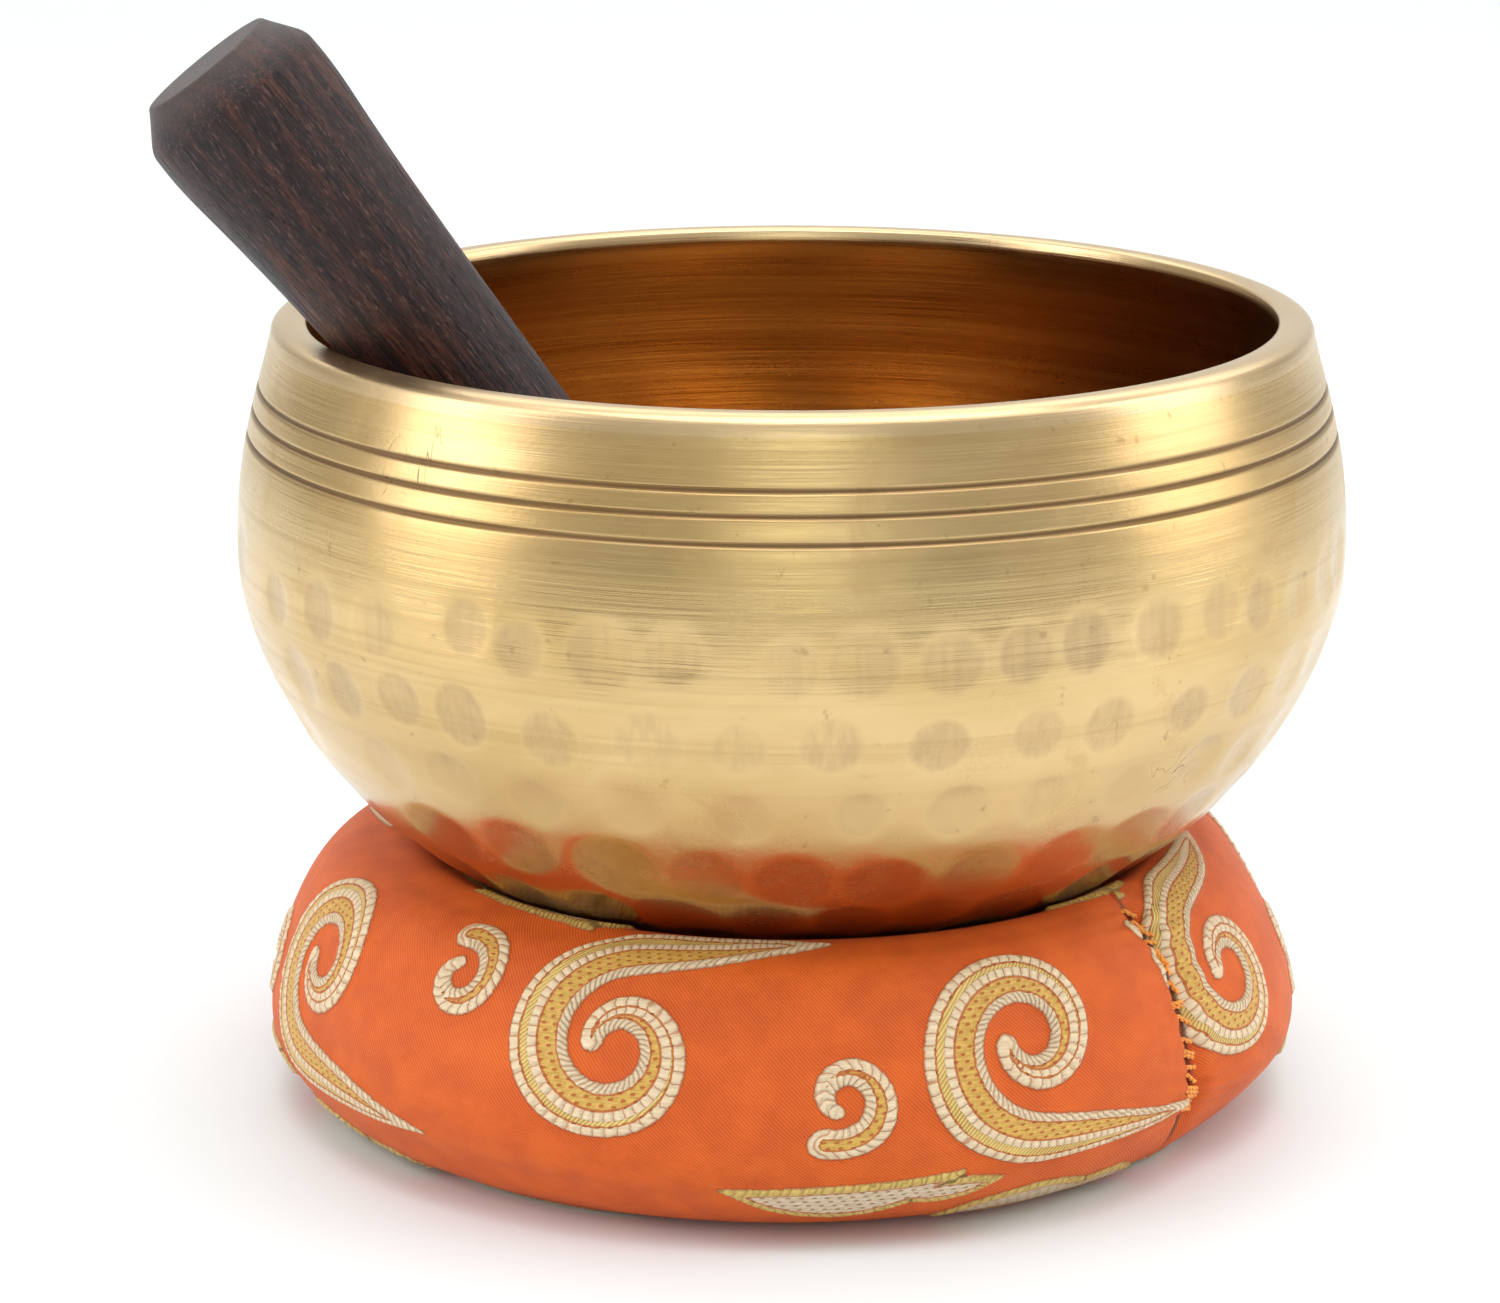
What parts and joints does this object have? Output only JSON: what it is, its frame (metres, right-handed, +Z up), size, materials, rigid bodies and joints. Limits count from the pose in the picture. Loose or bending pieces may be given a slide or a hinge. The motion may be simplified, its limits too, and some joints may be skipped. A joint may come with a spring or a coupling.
{
  "type": "singing bowl",
  "caption": "Hand-hammered brass singing bowl on a stuffed brocade ring cushion, with a turned hardwood striker leaning inside it.",
  "frame": {"origin": "on the bowl's axis, in the plane of the cushion's flat underside, which is the table top", "axes": "+Z up along the bowl's axis; the striker's head leans out towards -X; the ring's hand-sewn joint lies at 38 degrees from +X towards -Y"},
  "size_m": [0.1335, 0.127, 0.127],
  "materials": {
    "hammered_brass": "brushed and hand-hammered, lightly aged",
    "dark_hardwood": "waxed open-grain rosewood",
    "brocade": "satin-ground brocade with raised gold and ivory scrolls",
    "stuffing": "loose cotton wadding",
    "sewing_thread": "twisted polyester thread"
  },
  "bodies": {
    "cushion": {"cushion_cover": "brocade", "cushion_filling": "stuffing", "joint_stitches": "sewing_thread", "tube_seam_thread": "sewing_thread"},
    "bowl": {"bowl": "hammered_brass"},
    "striker": {"striker": "dark_hardwood"}
  },
  "joints": [
    {"name": "bowl_lift", "type": "slide", "parent": "cushion", "child": "bowl", "axis": [0, 0, 1], "range_m": [0, 0.12]},
    {"name": "striker_draw", "type": "slide", "parent": "bowl", "child": "striker", "axis": [-0.6074, -0.067, 0.7915], "range_m": [0, 0.1]}
  ]
}
